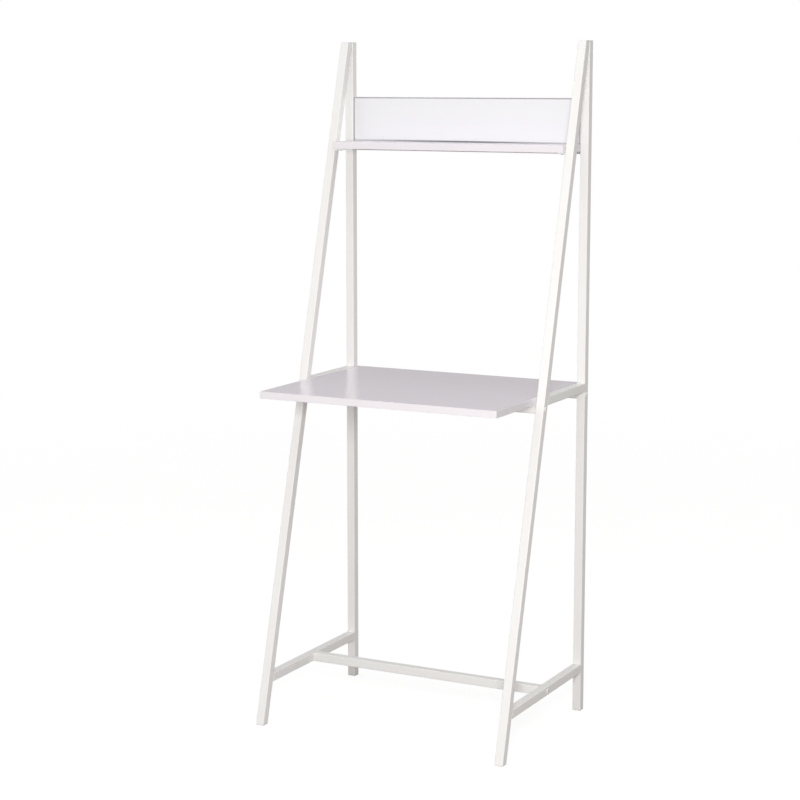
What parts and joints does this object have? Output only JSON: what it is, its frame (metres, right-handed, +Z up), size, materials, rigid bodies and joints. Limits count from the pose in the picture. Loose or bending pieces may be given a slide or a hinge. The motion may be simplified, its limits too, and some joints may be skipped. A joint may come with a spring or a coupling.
{
  "type": "ladder desk",
  "caption": "Ladder desk: two sloping A-shaped side frames of square tube tied by cross tubes, carrying a desk board, a narrow upper shelf and a low back panel.",
  "frame": {"origin": "on the floor at the middle of the footprint, under the centre of the overall box", "axes": "+X to the sitter's right as seen from the front, +Y to the rear, +Z up"},
  "size_m": [0.6256, 0.4572, 1.5494],
  "materials": {
    "frame_coating": "satin",
    "white_board": "satin",
    "edge_band_plastic": "satin",
    "plug_plastic": "matte",
    "bolt_coating": "satin",
    "nut_block_steel": "satin",
    "screw_steel": "satin"
  },
  "bodies": {
    "root": {"back_panel": "white_board", "desk_edge_bands": "edge_band_plastic", "desk_screws": "screw_steel", "desk_top": "white_board", "front_crossbar": "frame_coating", "front_crossbar_bolts": "bolt_coating", "front_crossbar_nut_blocks": "nut_block_steel", "left_desk_rail": "frame_coating", "left_frame_welds": "frame_coating", "left_front_foot": "plug_plastic", "left_front_leg": "frame_coating", "left_front_top_plug": "plug_plastic", "left_lower_rail": "frame_coating", "left_panel_tabs": "frame_coating", "left_rear_foot": "plug_plastic", "left_rear_leg": "frame_coating", "left_rear_top_plug": "plug_plastic", "left_shelf_tab": "frame_coating", "lower_stretcher": "frame_coating", "lower_stretcher_bolts": "bolt_coating", "lower_stretcher_nut_blocks": "nut_block_steel", "panel_edge_bands": "edge_band_plastic", "panel_screws": "screw_steel", "rear_crossbar": "frame_coating", "rear_crossbar_bolts": "bolt_coating", "rear_crossbar_nut_blocks": "nut_block_steel", "right_desk_rail": "frame_coating", "right_frame_welds": "frame_coating", "right_front_foot": "plug_plastic", "right_front_leg": "frame_coating", "right_front_top_plug": "plug_plastic", "right_lower_rail": "frame_coating", "right_panel_tabs": "frame_coating", "right_rear_foot": "plug_plastic", "right_rear_leg": "frame_coating", "right_rear_top_plug": "plug_plastic", "right_shelf_tab": "frame_coating", "shelf_back_screws": "screw_steel", "shelf_edge_bands": "edge_band_plastic", "shelf_screws": "screw_steel", "upper_shelf": "white_board"}
  },
  "joints": []
}
